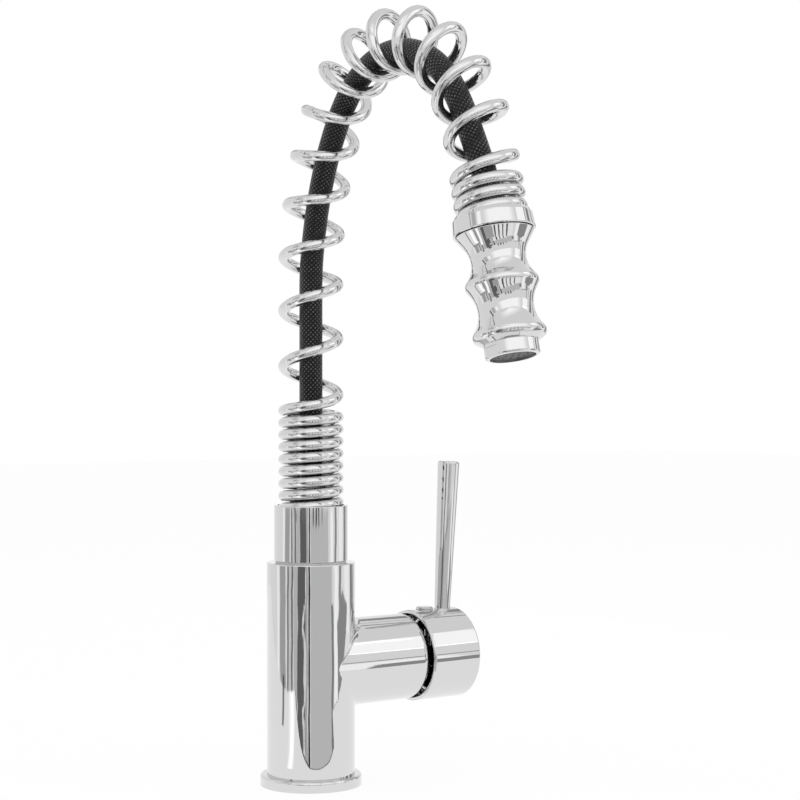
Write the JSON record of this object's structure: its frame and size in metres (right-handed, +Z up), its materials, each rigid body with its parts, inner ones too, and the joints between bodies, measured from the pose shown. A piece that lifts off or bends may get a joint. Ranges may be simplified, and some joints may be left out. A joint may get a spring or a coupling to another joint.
{
  "type": "pull-down kitchen mixer tap",
  "caption": "Chrome single-lever kitchen mixer tap: straight column, side valve arm with pin lever, coil-sprung swivel neck over a hose, and a scalloped pull-down spray head.",
  "frame": {"origin": "centre of the foot ring's underside, on the deck and on the column's axis", "axes": "+Z up the column, -Y towards the spray head, +X along the valve arm"},
  "size_m": [0.1202, 0.2021, 0.3836],
  "materials": {
    "chrome": "bright chrome plate on cast and turned brass",
    "spring_wire": "bright chrome plate on spring wire",
    "brass": "plain machined brass",
    "stainless": "turned stainless steel",
    "black_rubber": "matt black rubber",
    "white_plastic": "moulded acetal",
    "ceramic": "lapped alumina",
    "dark_nut": "blackened brass",
    "stem_steel": "milled square bar",
    "grey_plastic": "plain grey cap, no marking",
    "dark_plastic": "dark grey moulded insert and spring core",
    "braid": "black nylon braid with fine light flecks"
  },
  "bodies": {
    "mixer": {"base_ring": "chrome", "base_gasket": "black_rubber", "mixer_body": "chrome", "swivel_o_rings": "black_rubber", "glide_ring": "white_plastic", "cartridge_base": "white_plastic", "cartridge_port_seals": "black_rubber", "cartridge_case": "white_plastic", "fixed_disc": "ceramic", "clamping_nut": "dark_nut"},
    "mixing_rotor": {"rotor": "white_plastic", "pivot_pin": "stainless"},
    "flow_disc": {"moving_disc": "ceramic", "disc_carrier": "white_plastic"},
    "lever": {"stem": "stem_steel", "lever_cap": "chrome", "set_screw": "stainless", "index_plug": "grey_plastic", "lever_rod": "chrome"},
    "neck": {"neck_sleeve": "chrome", "neck_screw": "stainless", "spring_core": "dark_plastic", "hose_tail": "brass", "lower_ferrule": "stainless", "hose": "braid", "spring": "spring_wire"},
    "head_collar": {"collar": "chrome", "head_fitting": "brass", "upper_ferrule": "stainless", "lock_nut": "brass", "head_o_ring": "black_rubber", "circlip": "stainless"},
    "handset": {"handset_shell": "chrome", "aerator_ring": "chrome", "aerator_washer": "black_rubber", "aerator_insert": "dark_plastic", "strainer": "stainless"}
  },
  "joints": [
    {"name": "spout_swivel", "type": "hinge", "parent": "mixer", "child": "neck", "pos_m": [0, 0, 0.1138], "axis": [0, 0, 1], "range_deg": [-180, 180]},
    {"name": "head_pull_down", "type": "hinge", "parent": "neck", "child": "head_collar", "pos_m": [0, 0, 0.24], "axis": [1, 0, 0], "range_deg": [0, 22], "stiffness_Nm_per_rad": 1.6, "springref_deg": -31.51, "deforming": ["spring", "hose"]},
    {"name": "handset_turn", "type": "hinge", "parent": "head_collar", "child": "handset", "pos_m": [0, -0.14908, 0.26997], "axis": [0, -0.23, -0.9732], "continuous": true},
    {"name": "lever_turn", "type": "hinge", "parent": "mixer", "child": "mixing_rotor", "pos_m": [0.053, 0, 0.0602], "axis": [1, 0, 0], "range_deg": [-50, 50]},
    {"name": "lever_lift", "type": "hinge", "parent": "mixing_rotor", "child": "lever", "pos_m": [0.047, 0, 0.0602], "axis": [0, 1, 0], "range_deg": [0, 25]},
    {"name": "disc_slide", "type": "slide", "parent": "mixing_rotor", "child": "flow_disc", "axis": [0, 0, 1], "range_m": [0, 0.00282]}
  ],
  "couplings": [
    {"joint": "disc_slide", "follows": "lever_lift", "m_per_rad": 0.006}
  ]
}
